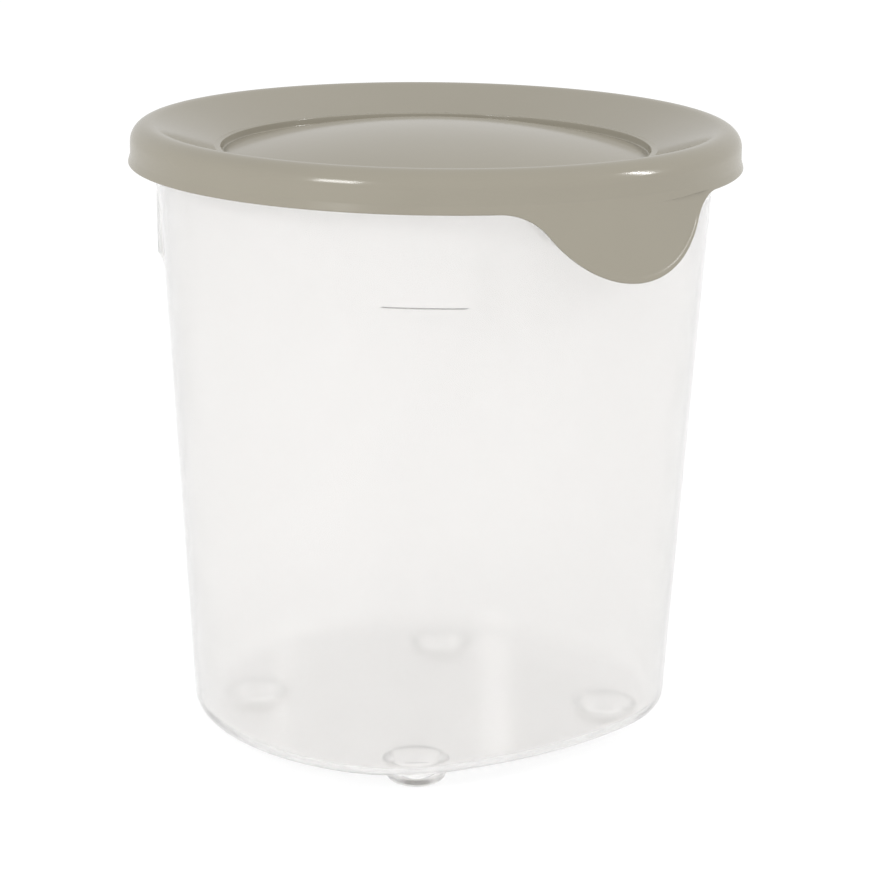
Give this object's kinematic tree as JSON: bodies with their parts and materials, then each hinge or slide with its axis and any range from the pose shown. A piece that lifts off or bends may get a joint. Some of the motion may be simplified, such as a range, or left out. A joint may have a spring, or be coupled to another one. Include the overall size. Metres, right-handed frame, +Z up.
{
  "type": "food storage container",
  "caption": "Round translucent food keeper with a gently flattened front, short moulded feet and an opaque press-on lid that is pulled off by a thumb tab.",
  "frame": {"origin": "on the table, under the middle of the outline seen from above with the lid's tab included; the tub's own axis is 3 mm behind it", "axes": "+Z up; -Y is the front, where the lid's thumb tab and the flattened face of the tub are; +X to the right seen from the front"},
  "size_m": [0.1838, 0.1898, 0.1882],
  "materials": {
    "tub_plastic": "natural translucent polypropylene, milky and half clear, with a smooth gloss",
    "lid_plastic": "opaque taupe polyethylene with a soft gloss"
  },
  "bodies": {
    "tub": {"tub": "tub_plastic"},
    "lid": {"lid": "lid_plastic"}
  },
  "joints": [
    {"name": "lid_lift", "type": "slide", "parent": "tub", "child": "lid", "axis": [0, 0, 1], "range_m": [0, 0.15]}
  ]
}
